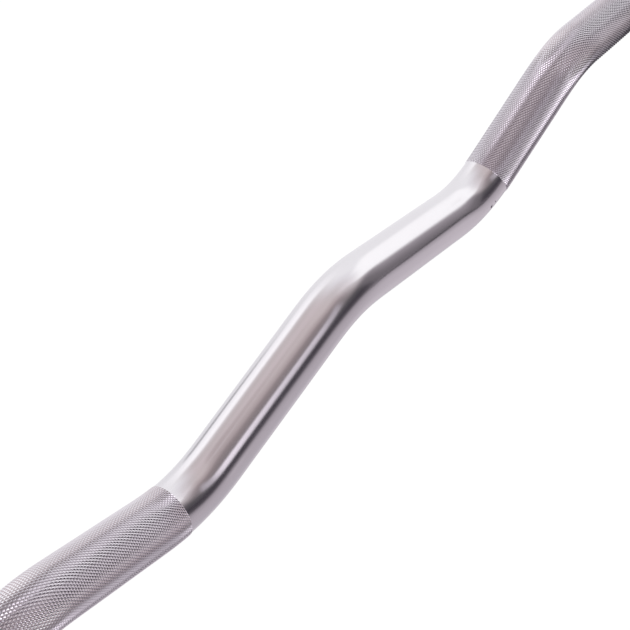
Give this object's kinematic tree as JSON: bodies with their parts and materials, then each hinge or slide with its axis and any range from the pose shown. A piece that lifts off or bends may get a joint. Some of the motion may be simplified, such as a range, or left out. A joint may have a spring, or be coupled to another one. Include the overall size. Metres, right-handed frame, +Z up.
{
  "type": "curl bar",
  "caption": "Zigzag steel curl bar with knurled grips, a smooth middle and a spinning flanged sleeve on each end for weight plates.",
  "frame": {"origin": "on the floor under the middle of the bar, with the bar at rest on the rims of its two flanges", "axes": "+X along the bar to its right end, +Z up, the way the middle bend points, and +Y across the plane of the bends, to the back"},
  "size_m": [1.2002, 0.078, 0.078],
  "materials": {
    "shaft_chrome": "satin hard chrome, knurled on the grips",
    "sleeve_chrome": "bright chrome with faint turning marks",
    "carrier_chrome": "bright chrome",
    "bronze": "oiled sintered bronze",
    "seal_rubber": "moulded rubber",
    "washer_steel": "ground steel",
    "spring_steel": "phosphated spring steel",
    "cap_metal": "turned aluminium"
  },
  "bodies": {
    "shaft": {"shaft": "shaft_chrome", "inner_washer_left": "washer_steel", "inner_washer_right": "washer_steel", "outer_washer_left": "washer_steel", "outer_washer_right": "washer_steel", "shaft_ring_left": "spring_steel", "shaft_ring_right": "spring_steel"},
    "left_sleeve": {"sleeve_left": "sleeve_chrome", "seal_carrier_left": "carrier_chrome", "inner_bushing_left": "bronze", "outer_bushing_left": "bronze", "dust_seal_left": "seal_rubber", "end_cap_left": "cap_metal", "cap_ring_left": "spring_steel"},
    "right_sleeve": {"sleeve_right": "sleeve_chrome", "seal_carrier_right": "carrier_chrome", "inner_bushing_right": "bronze", "outer_bushing_right": "bronze", "dust_seal_right": "seal_rubber", "end_cap_right": "cap_metal", "cap_ring_right": "spring_steel"}
  },
  "joints": [
    {"name": "left_sleeve_spin", "type": "hinge", "parent": "shaft", "child": "left_sleeve", "pos_m": [-0.40005, 0, 0.039], "axis": [1, 0, 0], "continuous": true},
    {"name": "right_sleeve_spin", "type": "hinge", "parent": "shaft", "child": "right_sleeve", "pos_m": [0.40005, 0, 0.039], "axis": [1, 0, 0], "continuous": true}
  ]
}
